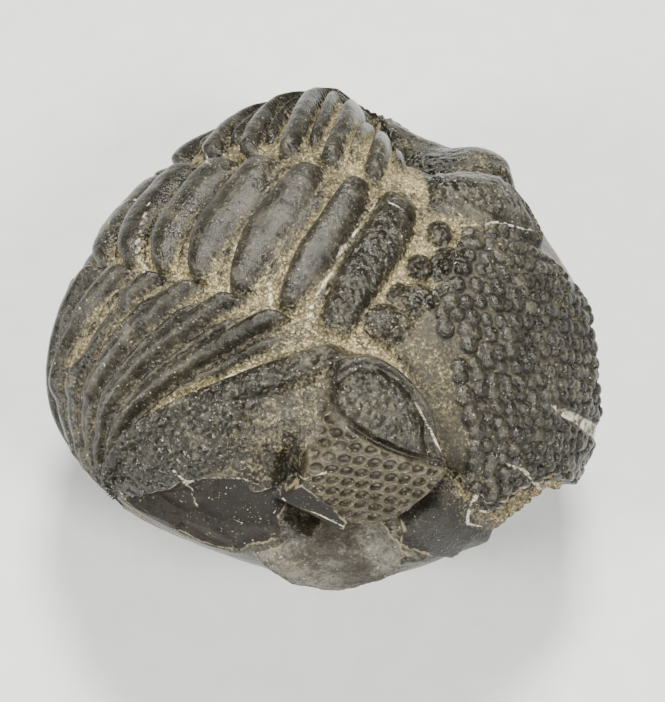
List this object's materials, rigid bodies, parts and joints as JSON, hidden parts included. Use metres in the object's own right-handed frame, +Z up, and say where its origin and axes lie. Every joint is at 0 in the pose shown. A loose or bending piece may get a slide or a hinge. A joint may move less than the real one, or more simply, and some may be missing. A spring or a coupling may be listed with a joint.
{
  "type": "enrolled trilobite fossil",
  "caption": "Curled-up trilobite fossil of dark stone with big lensed eyes, a warty head and ringed, ribbed back, lying on its flat underside.",
  "frame": {"origin": "middle of the stone's box at the flat it rests on", "axes": "+X out of the front of the head, +Y to the animal's left, +Z up"},
  "size_m": [0.061, 0.0586, 0.0416],
  "materials": {
    "dark_calcite": "polished dark calcite with dull tan sediment in the furrows"
  },
  "bodies": {
    "root": {"trilobite": "dark_calcite"}
  },
  "joints": []
}
